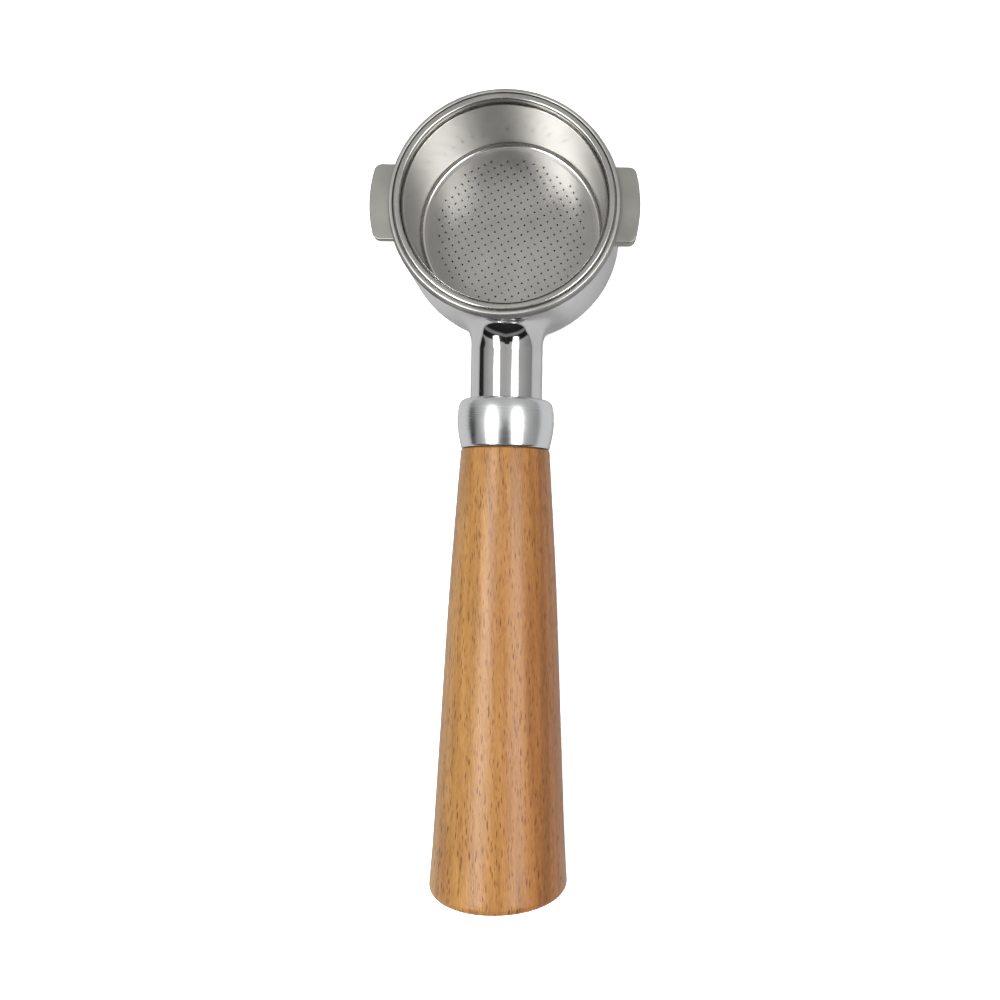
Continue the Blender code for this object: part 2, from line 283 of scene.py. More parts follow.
def thread_rows(radius, start, end, sides, inward=False):
    """Rows of a threaded cylinder from start to end, its crests following a helix."""
    steps = round((end - start) / THREAD_PITCH * 8)
    rows = []
    for i in range(steps + 1):
        z = start + (end - start) * i / steps
        lead = min(1.0, (z - start) / THREAD_PITCH, (end - z) / THREAD_PITCH)
        row = []
        for j in range(sides):
            phase = (z / THREAD_PITCH - j / sides) % 1.0
            groove = max(0.0, min(1.0, 1.25 - abs(phase - 0.5) * 5.0 + 0.25))
            depth = THREAD_DEPTH * (groove * lead + (0.0 if inward else 1.0 - lead))
            r = radius + depth * lead if inward else radius - depth
            angle = math.tau * j / sides
            row.append((r * math.cos(angle), r * math.sin(angle), z))
        rows.append(row)
    return rows


def rows_shell(rows, close_rows=False):
    return [point for row in rows for point in row], grid_faces(len(rows), len(rows[0]), close_rows)


def circle_row(radius, z, sides):
    angles = [math.tau * j / sides for j in range(sides)]
    return [(radius * math.cos(a), radius * math.sin(a), z) for a in angles]


def build(name, shells, local, looks, sharp=35.0):
    """One object from shells given as (shell, index of its look)."""
    verts = []
    faces = []
    indices = []
    for (points, polygons), look in shells:
        first = len(verts)
        verts += [tuple(c * MM for c in point) for point in points]
        faces += [tuple(first + i for i in polygon) for polygon in polygons]
        indices += [look] * len(polygons)
    mesh = bpy.data.meshes.new(name)
    mesh.from_pydata(verts, [], faces)
    for look in looks:
        mesh.materials.append(look)
    mesh.polygons.foreach_set("material_index", indices)
    return dress(name, mesh, local, sharp)


def dress(name, mesh, local, sharp):
    """Cleans the mesh and shades it smooth, with its flat faces kept flat."""
    work = bmesh.new()
    work.from_mesh(mesh)
    bmesh.ops.remove_doubles(work, verts=work.verts, dist=0.000002)
    bmesh.ops.dissolve_degenerate(work, edges=work.edges, dist=0.000001)
    bmesh.ops.recalc_face_normals(work, faces=work.faces)
    work.to_mesh(mesh)
    work.free()
    mesh.shade_smooth()
    mesh.set_sharp_from_angle(angle=math.radians(sharp))
    obj = bpy.data.objects.new(name, mesh)
    bpy.context.scene.collection.objects.link(obj)
    obj.matrix_world = local
    weigh = obj.modifiers.new("flat faces stay flat", "WEIGHTED_NORMAL")
    weigh.keep_sharp = True
    return obj


def declare(obj, body, slot, *nodes):
    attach(obj, body)
    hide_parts(*nodes)


# Materials


class Look:
    """A Principled material with helpers for its node tree. Positions are in millimetres."""

    def __init__(self, name, color, roughness, metallic):
        self.material = bpy.data.materials.new(name)
        self.material.use_nodes = True
        self.tree = self.material.node_tree
        self.shader = self.tree.nodes["Principled BSDF"]
        self.set("Base Color", (*color, 1.0))
        self.set("Roughness", roughness)
        self.set("Metallic", metallic)
        coords = self.node("ShaderNodeTexCoord")
        self.position = self.math_vector("SCALE", coords.outputs["Object"], scale=1.0 / MM)

    def set(self, socket, value):
        self.shader.inputs[socket].default_value = value

    def node(self, kind, **values):
        made = self.tree.nodes.new(kind)
        for key, value in values.items():
            setattr(made, key, value)
        return made

    def link(self, output, target):
        self.tree.links.new(output, target)

    def feed(self, node, socket, value):
        """Links an output to a node's socket, or sets the socket to a number."""
        if isinstance(value, bpy.types.NodeSocket):
            self.link(value, node.inputs[socket])
        else:
            node.inputs[socket].default_value = value

    def math_vector(self, operation, vector, scale=1.0):
        node = self.node("ShaderNodeVectorMath", operation=operation)
        self.feed(node, 0, vector)
        node.inputs["Scale"].default_value = scale
        return node.outputs["Vector"]

    def maths(self, operation, a, b=0.0):
        node = self.node("ShaderNodeMath", operation=operation)
        self.feed(node, 0, a)
        self.feed(node, 1, b)
        return node.outputs[0]

    def stretched(self, vector, scale, turn=(0.0, 0.0, 0.0)):
        node = self.node("ShaderNodeMapping")
        self.feed(node, "Vector", vector)
        node.inputs["Scale"].default_value = scale
        node.inputs["Rotation"].default_value = turn
        return node.outputs["Vector"]

    def turning(self):
        """Coordinates that run across turning marks: (radius, height, 0)."""
        split = self.node("ShaderNodeSeparateXYZ")
        self.link(self.position, split.inputs[0])
        x2 = self.maths("MULTIPLY", split.outputs["X"], split.outputs["X"])
        y2 = self.maths("MULTIPLY", split.outputs["Y"], split.outputs["Y"])
        radius = self.maths("SQRT", self.maths("ADD", x2, y2))
        joined = self.node("ShaderNodeCombineXYZ")
        self.link(radius, joined.inputs["X"])
        self.link(split.outputs["Z"], joined.inputs["Y"])
        return joined.outputs[0]

    def around(self):
        """Coordinates on a grip's skin: (distance round it, height, radius). They meet underneath."""
        split = self.node("ShaderNodeSeparateXYZ")
        self.link(self.position, split.inputs[0])
        angle = self.maths("ARCTAN2", split.outputs["X"], split.outputs["Y"])
        x2 = self.maths("MULTIPLY", split.outputs["X"], split.outputs["X"])
        y2 = self.maths("MULTIPLY", split.outputs["Y"], split.outputs["Y"])
        joined = self.node("ShaderNodeCombineXYZ")
        self.link(self.maths("MULTIPLY", angle, SKIN_R), joined.inputs["X"])
        self.link(split.outputs["Z"], joined.inputs["Y"])
        self.link(self.maths("SQRT", self.maths("ADD", x2, y2)), joined.inputs["Z"])
        return joined.outputs[0]

    def noise(self, vector, scale, detail=3.0, roughness=0.5):
        node = self.node("ShaderNodeTexNoise")
        self.feed(node, "Vector", vector)
        node.inputs["Scale"].default_value = scale
        node.inputs["Detail"].default_value = detail
        node.inputs["Roughness"].default_value = roughness
        return node.outputs["Fac"]

    def remap(self, value, low, high, to_low=0.0, to_high=1.0):
        node = self.node("ShaderNodeMapRange")
        self.feed(node, "Value", value)
        node.inputs["From Min"].default_value = low
        node.inputs["From Max"].default_value = high
        node.inputs["To Min"].default_value = to_low
        node.inputs["To Max"].default_value = to_high
        return node.outputs["Result"]

    def mix(self, factor, a, b):
        """A colour between a and b, each an output or an (r, g, b)."""
        node = self.node("ShaderNodeMix", data_type="RGBA")
        self.feed(node, "Factor", factor)
        for index, value in ((6, a), (7, b)):
            if isinstance(value, tuple):
                value = (*value, 1.0)
            self.feed(node, index, value)
        return node.outputs[2]

    def color(self, output):
        self.link(output, self.shader.inputs["Base Color"])

    def roughness(self, output):
        self.link(output, self.shader.inputs["Roughness"])

    def bump(self, height, distance, coat=False):
        """Adds relief of that depth, in millimetres."""
        node = self.node("ShaderNodeBump")
        node.inputs["Distance"].default_value = distance * MM
        self.link(height, node.inputs["Height"])
        self.link(node.outputs["Normal"], self.shader.inputs["Normal"])
        if coat:
            self.link(node.outputs["Normal"], self.shader.inputs["Coat Normal"])


def metal(name, color, roughness, spread=0.25, turned=False, relief=0.0, grain=6.0, tint=0.06):
    """A metal with slight smudges in its colour and roughness, and fine turning or polishing marks."""
    look = Look(name, color, roughness, 1.0)
    smudge = look.noise(look.position, 0.09, detail=4.0)
    if turned:
        marks = look.noise(look.turning(), grain, detail=2.0, roughness=0.7)
    else:
        marks = look.noise(look.position, grain, detail=3.0, roughness=0.65)
    dull = tuple(channel * (1.0 - tint) for channel in color)
    look.color(look.mix(look.remap(smudge, 0.35, 0.65), dull, color))
    both = look.maths("ADD", smudge, marks)
    look.roughness(look.remap(both, 0.7, 1.3, roughness * (1.0 - spread), roughness * (1.0 + spread)))
    if relief:
        look.bump(marks, relief)
    return look


def beech():
    """Lacquered beech: its grain runs along the handle, with short dark flecks and faint growth rings. The
    flecks are laid round the surface, so they show the same on every side."""
    look = Look("lacquered_beech", (0.34, 0.17, 0.053), 0.5, 0.0)
    along = look.stretched(look.position, (1.0, 1.0, 1.0), (math.radians(1.5), math.radians(-2.5), 0.0))
    bands = look.noise(look.stretched(along, (0.35, 0.35, 0.012)), 1.0, detail=3.0)
    fibres = look.noise(look.stretched(along, (2.2, 2.2, 0.3)), 1.0, detail=3.0, roughness=0.7)
    # Painted shade: both grain tones darken across the grip towards its right side (+X), standing in for the
    # weaker light there.
    split = look.node("ShaderNodeSeparateXYZ")
    look.link(look.position, split.inputs[0])
    side = look.remap(split.outputs["X"], -7.0, 13.0)
    light = look.mix(side, (0.50, 0.262, 0.082), (0.38, 0.160, 0.045))
    dark = look.mix(side, (0.285, 0.128, 0.034), (0.20, 0.070, 0.017))
    banding = look.remap(bands, 0.35, 0.65, 0.0, 0.55)
    tone = look.maths("ADD", banding, look.remap(fibres, 0.35, 0.65, 0.0, 0.45))
    wood = look.mix(tone, dark, light)
    skin = look.around()
    patch = look.noise(look.stretched(skin, (0.25, 0.06, 0.1)), 1.0)
    for spacing, length, size, strength in FLECKS:
        cells = look.node("ShaderNodeTexVoronoi")
        cells.inputs["Scale"].default_value = 1.0
        scale = (1.0 / spacing, 1.0 / length, 0.1)
        look.link(look.stretched(skin, scale, (0.0, 0.0, FLECK_SLANT)), cells.inputs["Vector"])
        pore = look.remap(cells.outputs["Distance"], size, size + 0.14, strength, 0.0)
        shown = look.remap(patch, 0.34, 0.54, 0.45, 1.0)
        wood = look.mix(look.maths("MULTIPLY", pore, shown), wood, (0.11, 0.034, 0.008))
    look.color(wood)
    look.roughness(look.remap(fibres, 0.3, 0.7, 0.42, 0.58))
    look.set("Specular IOR Level", 0.12)
    look.set("Coat Weight", 0.6)
    look.set("Coat Roughness", 0.13)
    look.set("Coat IOR", 1.45)
    look.bump(fibres, 0.08, coat=True)
    return look


def make_looks():
    looks = {
        "chrome": metal("polished_chrome", (0.63, 0.63, 0.635), 0.08, spread=0.4, grain=2.0),
        "satin": metal("satin_chrome", (0.46, 0.455, 0.435), 0.38, turned=True, relief=0.006, grain=5.0),
        "lug": metal("satin_lug", (0.33, 0.327, 0.307), 0.42, relief=0.008, grain=4.0),
        "wall": metal("drawn_steel", (0.61, 0.60, 0.58), 0.19, turned=True, relief=0.002, grain=3.0),
        "lip": metal("satin_lip", (0.50, 0.495, 0.475), 0.27, turned=True, relief=0.004, grain=4.0),
        "floor": metal("matte_steel", (0.39, 0.385, 0.37), 0.38, spread=0.12, relief=0.002, grain=3.5),
        # Near-black walls for the floor's holes: painted shade, standing in for the dark seen through them.
        "painted_hole_shade": metal("hole_walls_painted_shade", (0.06, 0.058, 0.055), 0.6),
        "spring": metal("spring_steel", (0.42, 0.41, 0.40), 0.28, relief=0.004),
        "zinc": metal("zinc_plate", (0.55, 0.56, 0.57), 0.33, relief=0.01, tint=0.15),
        "aluminium": metal(
            "turned_aluminium", (0.70, 0.71, 0.725), 0.24, turned=True, relief=0.001, grain=4.0
        ),
        "brass": metal("turned_brass", (0.66, 0.47, 0.20), 0.3, turned=True, relief=0.006),
        "beech": beech(),
    }
    return {key: look.material for key, look in looks.items()}


# Body


def ring_shells():
    """The ring's polished walls, and the satin rim with the basket's seat, which meet on its edges."""
    seat = RING_HEIGHT - SEAT_DEPTH
    outline = rounded(
        [
            (RIM_R, RING_HEIGHT, RIM_ROUND),
            (RIM_R, RIM_LOW, 0.15),
            (RING_R, SHOULDER_Z, 0.15),
            (RING_R, 0.0, BOTTOM_ROUND),
            (BORE_R, 0.0, 0.3),
            (BORE_R, GROOVE_LOW, 0.15),
            (GROOVE_R, GROOVE_LOW, 0.1),
            (GROOVE_R, GROOVE_HIGH, 0.1),
            (BORE_R, GROOVE_HIGH, 0.15),
            (BORE_R, seat, 0.15),
            (SEAT_R, seat, 0.1),
            (SEAT_R, RING_HEIGHT, 0.3),
        ],
        steps=6,
    )
    verts, faces = lathe(outline, RING_SIDES)
    rim = [f for f in faces if min(verts[i][2] for i in f) > SHOULDER_Z]
    walls = [f for f in faces if min(verts[i][2] for i in f) <= SHOULDER_Z]
    return [((verts, walls), 0), ((verts, rim), 1)]


def lug_shell(side):
    """One lug: a wedge with an arc for its tip and rounded corners. Its root is inside the ring's wall.
    The left lug is the right one, turned half round the ring's axis."""
    half = LUG_WIDTH / 2
    corner_y = half - LUG_CORNER_R
    corner_x = math.sqrt((LUG_TIP_R - LUG_CORNER_R) ** 2 - corner_y**2)
    turn = math.atan2(corner_y, corner_x)
    tip = []
    steps = 8
    for i in range(steps + 1):
        angle = -math.pi / 2 + (math.pi / 2 - turn) * i / steps
        tip.append((corner_x + LUG_CORNER_R * math.cos(angle), LUG_CORNER_R * math.sin(angle) - corner_y))
    for i in range(1, 24):
        angle = -turn + 2 * turn * i / 24
        tip.append((LUG_TIP_R * math.cos(angle), LUG_TIP_R * math.sin(angle)))
    tip += [(x, -y) for x, y in reversed(tip[: steps + 1])]
    root = math.asin(half / LUG_ROOT_R)
    inner = [
        (LUG_ROOT_R * math.cos(root - 2 * root * i / 16), LUG_ROOT_R * math.sin(root - 2 * root * i / 16))
        for i in range(17)
    ]
    verts, faces = prism(tip + inner, LUG_TOP - (LUG_THIN + LUG_THICK) / 2, LUG_TOP, LUG_EDGE_ROUND)
    slope = (LUG_THICK - LUG_THIN) / LUG_WIDTH
    wedge = []
    for x, y, z in verts:
        lowered = z + slope * y if z < LUG_TOP - LUG_THIN / 2 else z
        wedge.append((side * x, side * y, lowered))
    return wedge, faces


def ring_surface_r(z):
    """The ring's outer radius at a height, on its bottom rounding too."""
    depth = max(0.0, min(BOTTOM_ROUND, BOTTOM_ROUND - z))
    return RING_R - BOTTOM_ROUND + math.sqrt(BOTTOM_ROUND**2 - depth**2)


def soft_least(values, softness=0.6):
    return -softness * math.log(sum(math.exp(-value / softness) for value in values))


def neck_rows(into_head):
    """Rows round the neck: from inside the ring's wall, over a fillet that is tangent to the ring and the
    neck, along the neck to its end and back down the stud's hole. Above, the fillet ends on the ring's
    shoulder. Below, it shrinks to the room that the wall leaves it. Points are in the head's frame."""
    handle_z = into_head.translation.z
    out = into_head.to_3x3() @ Vector((0.0, 0.0, 1.0))
    up = into_head.to_3x3() @ Vector((0.0, 1.0, 0.0))
    across = Vector((1.0, 0.0, 0.0))
    sink = -out.z * RING_R
    bottom_room = handle_z - sink - BOTTOM_ROUND
    bends = [0.0, 0.004] + [(i + 1) / 19 for i in range(18)] + [0.996, 1.0]
    columns = []
    for j in range(NECK_SIDES):
        angle = math.tau * j / NECK_SIDES
        radial = across * math.cos(angle) + up * math.sin(angle)
        fit = min(60.0, bottom_room / max(0.05, -math.sin(angle)) - NECK_R)
        fillet = max(0.3, soft_least((NECK_FILLET_R, fit)))
        reach = NECK_R + fillet
        s = RING_R + fillet
        for _ in range(4):
            centre = into_head.translation + radial * reach + out * s
            above = max(0.0, centre.z - SHOULDER_Z)
            ring_r = ring_surface_r(centre.z)
            wanted = -math.sqrt((ring_r + math.sqrt(fillet**2 - above**2)) ** 2 - centre.x**2)
            s += (wanted - centre.y) / out.y
        centre = into_head.translation + radial * reach + out * s
        flat = Vector((centre.x, centre.y, 0.0)).normalized()
        touch = flat * ring_r + Vector((0.0, 0.0, centre.z - above))
        on_ring = touch - centre
        on_neck = -radial * fillet
        sunk = touch - flat * 0.9
        column = [sunk]
        turn = on_ring.rotation_difference(on_neck)
        axis, sweep = turn.to_axis_angle()
        for bend in bends:
            column.append(centre + Matrix.Rotation(sweep * bend, 3, axis) @ on_ring)
        tangent_s = s
        for share in (0.15, 0.4, 0.7, 1.0):
            along = tangent_s + (NECK_END - 0.5 - tangent_s) * share
            column.append(into_head.translation + radial * NECK_R + out * along)
        for step in range(1, 5):
            bevel = math.pi / 2 * step / 4
            r = NECK_R - 0.5 + 0.5 * math.cos(bevel)
            along = NECK_END - 0.5 + 0.5 * math.sin(bevel)
            column.append(into_head.translation + radial * r + out * along)
        for r, along in (
            (STUD_HOLE_R + 0.6, NECK_END),
            (STUD_HOLE_R, NECK_END - 0.6),
            (STUD_HOLE_R, STUD_HOLE_START),
            (0.0, STUD_HOLE_START),
        ):
            column.append(into_head.translation + radial * r + out * along)
        columns.append(column)
    return [[tuple(column[i]) for column in columns] for i in range(len(columns[0]))]


def make_body(looks):
    into_head = HEAD.inverted() @ HANDLE
    into_head.translation /= MM
    neck = rows_shell(neck_rows(into_head))
    shells = ring_shells() + [(lug_shell(1), 2), (lug_shell(-1), 2), (neck, 0)]
    body = build("body_casting", shells, HEAD, [looks["chrome"], looks["satin"], looks["lug"]])
    declare(body, "portafilter", "body_chrome", "portafilter_body")


# Basket and its retaining wire


def hole_centres():
    """A square lattice, turned a little, kept where a hole fits in the round field."""
    reach = math.ceil(HOLE_FIELD_R / HOLE_PITCH)
    centres = []
    for i in range(-reach, reach + 1):
        for j in range(-reach, reach + 1):
            point = Matrix.Rotation(HOLE_ROWS_TURN, 2) @ Vector((i, j)) * HOLE_PITCH
            if point.length <= HOLE_FIELD_R:
                centres.append(point)
    return centres


def floor_shell(z):
    """The basket's flat floor with its holes, cut out of a filled curve: its faces and the holes' edges."""
    curve = bpy.data.curves.new("basket_floor", "CURVE")
    curve.dimensions = "2D"
    curve.fill_mode = "BOTH"
    curve.extrude = WALL_THICKNESS / 2
    rings = [(Vector((0.0, 0.0)), FLOOR_CREASE_R, RING_SIDES)]
    rings += [(centre, HOLE_R, 14) for centre in hole_centres()]
    for centre, radius, sides in rings:
        spline = curve.splines.new("POLY")
        spline.points.add(sides - 1)
        spline.use_cyclic_u = True
        for j, point in enumerate(spline.points):
            angle = math.tau * j / sides
            x = centre.x + radius * math.cos(angle)
            y = centre.y + radius * math.sin(angle)
            point.co = (x, y, 0.0, 1.0)
    holder = bpy.data.objects.new("basket_floor", curve)
    bpy.context.scene.collection.objects.link(holder)
    bpy.context.view_layer.update()
    mesh = bpy.data.meshes.new_from_object(holder.evaluated_get(bpy.context.evaluated_depsgraph_get()))
    verts = [(v.co.x, v.co.y, v.co.z + z) for v in mesh.vertices]
    flat = [tuple(p.vertices) for p in mesh.polygons if abs(p.normal.z) > 0.5]
    edges = [tuple(p.vertices) for p in mesh.polygons if abs(p.normal.z) <= 0.5]
    bpy.data.objects.remove(holder, do_unlink=True)
    bpy.data.curves.remove(curve)
    bpy.data.meshes.remove(mesh)
    return (verts, flat), (verts, edges)


def make_basket(looks):
    low, top, lip_r = span("filter_basket", HEAD)
    under = top - LIP_THICKNESS
    floor = FLOOR_Z
    wall = WALL_THICKNESS
    crease_z = top - CREASE_DROP
    crease_r = (WALL_TOP_R + MOUTH_R) / 2
    outline = rounded(
        [
            (FLOOR_CREASE_R, floor, 0.0),
            (FLOOR_CREASE_R + 0.5, floor + 0.05, 0.2),
            (WALL_FLOOR_R, floor, FLOOR_ROUND),
            (WALL_TOP_R, crease_z, 0.12),
            (crease_r, crease_z - CREASE_DEPTH, 0.08),
            (MOUTH_R, crease_z, 0.1),
            (MOUTH_R + 0.05, top, MOUTH_ROUND),
            (lip_r, top, LIP_ROUND),
            (lip_r, under, 0.15),
            (MOUTH_R + 0.4, under, 0.2),
            (WALL_TOP_R + wall, under - 0.9, 0.6),
            (WALL_FLOOR_R + wall, low, 1.2),
            (FLOOR_CREASE_R, low, 0.0),
        ],
        steps=8,
    )
    verts, faces = lathe(outline[::-1], RING_SIDES)
    base = [f for f in faces if max(verts[i][2] for i in f) < floor + 0.12]
    cup = [f for f in faces if floor + 0.12 <= max(verts[i][2] for i in f) <= crease_z + 0.2]
    lip = [f for f in faces if max(verts[i][2] for i in f) > crease_z + 0.2]
    flat, edges = floor_shell((floor + low) / 2)
    # The floor's edges, the holes' walls among them, take the near-black look: painted shade in the holes.
    shells = [((verts, cup), 0), ((verts, lip), 2), ((verts, base), 1), (flat, 1), (edges, 3)]
    finishes = [looks["wall"], looks["floor"], looks["lip"], looks["painted_hole_shade"]]
    basket = build("basket_cup", shells, HEAD, finishes)
    declare(basket, "basket", "basket_steel", "filter_basket")


def tube_along(points, radius, sides=12):
    """A round wire along points that lie in a plane square to Z, with flat ends."""
    rows = []
    for i, point in enumerate(points):
        ahead = Vector(points[min(i + 1, len(points) - 1)])
        behind = Vector(points[max(i - 1, 0)])
        along = (ahead - behind).normalized()
        aside = along.cross(Vector((0.0, 0.0, 1.0))).normalized()
        rise = aside.cross(along)
        row = []
        for j in range(sides):
            angle = math.tau * j / sides
            row.append(tuple(Vector(point) + (aside * math.cos(angle) + rise * math.sin(angle)) * radius))
        rows.append(row)
    verts, faces = rows_shell(rows)
    faces.append(tuple(range(sides)))
    faces.append(tuple(reversed(range(len(verts) - sides, len(verts)))))
    return verts, faces


def make_spring(looks):
    low, high, outer = span("basket_spring", HEAD)
    ring_r = outer - WIRE_R
    z = (low + high) / 2
    half_gap = math.radians(20.0)
    count = 160
    points = []
    for i in range(count + 1):
        angle = math.pi / 2 + half_gap + (math.tau - 2 * half_gap) * i / count
        points.append((ring_r * math.cos(angle), ring_r * math.sin(angle), z))
    spring = build("basket_spring_wire", [(tube_along(points, WIRE_R), 0)], HEAD, [looks["spring"]])
    declare(spring, "portafilter", "spring_steel", "basket_spring")


# Stud and its hardware


def make_stud(looks):
    start, end, radius = span("handle_stud", HANDLE)
    sides = 48
    rows = [circle_row(0.0, start, sides), circle_row(radius - 1.0, start, sides)]
    rows += thread_rows(radius, start + 0.4, end - 0.4, sides)
    rows += [circle_row(radius - 1.0, end, sides), circle_row(0.0, end, sides)]
    stud = build("threaded_stud", [(rows_shell(rows), 0)], HANDLE, [looks["zinc"]])
    declare(stud, "portafilter", "zinc_hardware", "handle_stud")


def make_lock_washer(looks):
    start, end, radius = span("stud_lock_washer", HANDLE)
    inner = STUD_HOLE_R + 0.1
    edge = 0.2
    outside = [(radius, end, edge), (radius, start, edge)]
    section = rounded(outside + [(inner, start, edge), (inner, end, edge)], 3)
    middle = (start + end) / 2
    count = 96
    rows = []
    for i in range(count + 1):
        row = []
        for r, z in section:
            half_slit = WASHER_SLIT / 2 / r
            lean = math.tan(WASHER_SLANT) * (z - middle) / r
            angle = -lean + half_slit + (math.tau - 2 * half_slit) * i / count
            row.append((r * math.cos(angle), r * math.sin(angle), z))
        rows.append(row)
    verts, faces = rows_shell(rows)
    faces.append(tuple(range(len(section))))
    faces.append(tuple(reversed(range(len(verts) - len(section), len(verts)))))
    washer = build("split_lock_washer", [((verts, faces), 0)], HANDLE, [looks["zinc"]])
    declare(washer, "portafilter", "zinc_hardware", "stud_lock_washer")


def make_jam_nut(looks):
    """A hexagon with its corners chamfered by a cone at both ends."""
    start, end, _ = span("stud_jam_nut", HANDLE)
    sides = 96
    face_r = NUT_FLATS / 2 * 0.96
    chamfer = math.tan(math.radians(30.0))
    rows = [[] for _ in range(6)]
    for j in range(sides):
        angle = math.tau * j / sides
        off_flat = (math.degrees(angle) + 30.0) % 60.0 - 30.0
        hexagon = NUT_FLATS / 2 / math.cos(math.radians(off_flat))
        drop = (hexagon - face_r) * chamfer
        ring = (
            (STUD_HOLE_R, start + 0.8),
            (STUD_HOLE_R + 0.8, start),
            (face_r, start),
            (hexagon, start + drop),
            (hexagon, end - drop),
            (face_r, end),
        )
        for row, (r, z) in zip(rows, ring):
            row.append((r * math.cos(angle), r * math.sin(angle), z))
    rows.append(circle_row(STUD_HOLE_R + 0.8, end, sides))
    rows.append(circle_row(STUD_HOLE_R, end - 0.8, sides))
    nut = build("hex_jam_nut", [(rows_shell(rows, close_rows=True), 0)], HANDLE, [looks["zinc"]], sharp=25.0)
    declare(nut, "portafilter", "zinc_hardware", "stud_jam_nut")


def ring_piece(name, start, end, outer, inner, edge, look):
    corners = [(outer, end, edge), (outer, start, edge), (inner, start, edge), (inner, end, edge)]
    return build(name, [(lathe(rounded(corners, 3), HANDLE_SIDES), 0)], HANDLE, [look])


def make_grip_washer(looks):
    start, end, radius = span("grip_washer", HANDLE)
    washer = ring_piece("flat_grip_washer", start, end, radius, STUD_HOLE_R + 0.3, 0.2, looks["zinc"])
    declare(washer, "grip", "zinc_hardware", "grip_washer")


def make_insert(looks):
    """A brass insert with a threaded bore and coarse threads outside, which hold in the wood."""
    start, end, radius = span("threaded_insert", HANDLE)
    sides = 72
    rows = thread_rows(STUD_HOLE_R, start, end, sides, inward=True)
    rows += list(reversed(thread_rows(radius, start + 0.2, end - 0.2, sides)))
    insert = build("brass_insert", [(rows_shell(rows, close_rows=True), 0)], HANDLE, [looks["brass"]])
    declare(insert, "grip", "insert_brass", "threaded_insert")


# Handle


def make_ferrule(looks):
    """A barrel-shaped cap: it swells fast behind its front edge and narrows slowly to the wood."""
    start, end, belly_r = span("ferrule", HANDLE)
    front_r = 13.6
    back_r = 13.8
    swell = smooth_line(
        [
            (back_r, end - 0.15),
            (belly_r - 0.6, end - 3.1),
            (belly_r - 0.15, end - 6.0),
            (belly_r, start + 6.1),
            (belly_r - 0.15, start + 3.3),
            (belly_r - 0.5, start + 1.4),
            (front_r + 0.4, start + 0.45),
            (front_r, start + 0.12),
        ],
        steps=6,
    )
    step = start + 1.6
    inside = [
        (front_r - 0.2, start),
        (FERRULE_LIP_BORE_R + 0.15, start),
        (FERRULE_LIP_BORE_R, start + 0.15),
        (FERRULE_LIP_BORE_R, step),
        (FERRULE_BORE_R, step),
        (FERRULE_BORE_R, end - 0.1),
        (FERRULE_BORE_R + 0.1, end),
        (back_r - 0.15, end),
    ]
    barrel = lathe(swell + inside, HANDLE_SIDES)
    ferrule = build("barrel_ferrule", [(barrel, 0)], HANDLE, [looks["aluminium"]])
    declare(ferrule, "ferrule", "ferrule_aluminium", "ferrule")


def make_grip(looks):
    """The turned wood: slim at the ferrule, then widening to a flat end with a small rounding."""
    tenon_start, end, end_r = span("wooden_grip", HANDLE)
    _, ferrule_end, _ = span("ferrule", HANDLE)
    _, insert_end, _ = span("threaded_insert", HANDLE)
    front = ferrule_end + 0.3
    front_r = 13.75
    rounding = 2.4
    corner = [
        (
            end_r - rounding + rounding * math.sin(math.pi / 2 * i / 10),
            end - rounding + rounding * math.cos(math.pi / 2 * i / 10),
        )
        for i in range(10)
    ]
    side = smooth_line(
        [
            (end_r, end - rounding),
            (20.15, 190.0),
            (18.85, 163.0),
            (16.8, 119.0),
            (15.46, 97.0),
            (14.6, 84.0),
            (front_r + 0.12, front + 1.6),
            (front_r, front + 0.35),
        ],
        steps=10,
    )
    bore = INSERT_R + 0.3
    tenon = [
        (front_r - 0.3, front),
        (TENON_R, front),
        (TENON_R, tenon_start + 0.3),
        (TENON_R - 0.3, tenon_start),
        (bore, tenon_start),
        (bore, insert_end + 0.3),
        (6.7, insert_end + 0.3),
        (6.7, insert_end + 4.0),
        (0.0, insert_end + 4.0),
    ]
    face = [(0.0, end), ((end_r - rounding) / 2, end)]
    profile = face + corner + side + tenon
    verts, faces = lathe(profile, HANDLE_SIDES)
    open_faces = faces[: (len(profile) - 1) * HANDLE_SIDES]
    grip = build("beech_grip", [((verts, open_faces), 0)], HANDLE, [looks["beech"]], sharp=50.0)
    declare(grip, "grip", "grip_beech", "wooden_grip")


# Studio


def fade_edges(data, share_across, share_along):
    """Fades a light's glow towards its edges, over a share of its width and of its length."""
    data.use_nodes = True
    tree = data.node_tree
    geometry = tree.nodes.new("ShaderNodeNewGeometry")
    split = tree.nodes.new("ShaderNodeSeparateXYZ")
    tree.links.new(geometry.outputs["Parametric"], split.inputs[0])
    glow = None
    for axis, share in (("X", share_across), ("Y", share_along)):
        for start, end in ((0.0, share), (1.0, 1.0 - share)):
            fade = tree.nodes.new("ShaderNodeMapRange")
            fade.interpolation_type = "SMOOTHSTEP"
            fade.inputs["From Min"].default_value = start
            fade.inputs["From Max"].default_value = end
            tree.links.new(split.outputs[axis], fade.inputs["Value"])
            output = fade.outputs["Result"]
            if glow is None:
                glow = output
                continue
            product = tree.nodes.new("ShaderNodeMath")
            product.operation = "MULTIPLY"
            tree.links.new(glow, product.inputs[0])
            tree.links.new(output, product.inputs[1])
            glow = product.outputs[0]
    tree.links.new(glow, tree.nodes["Emission"].inputs["Strength"])


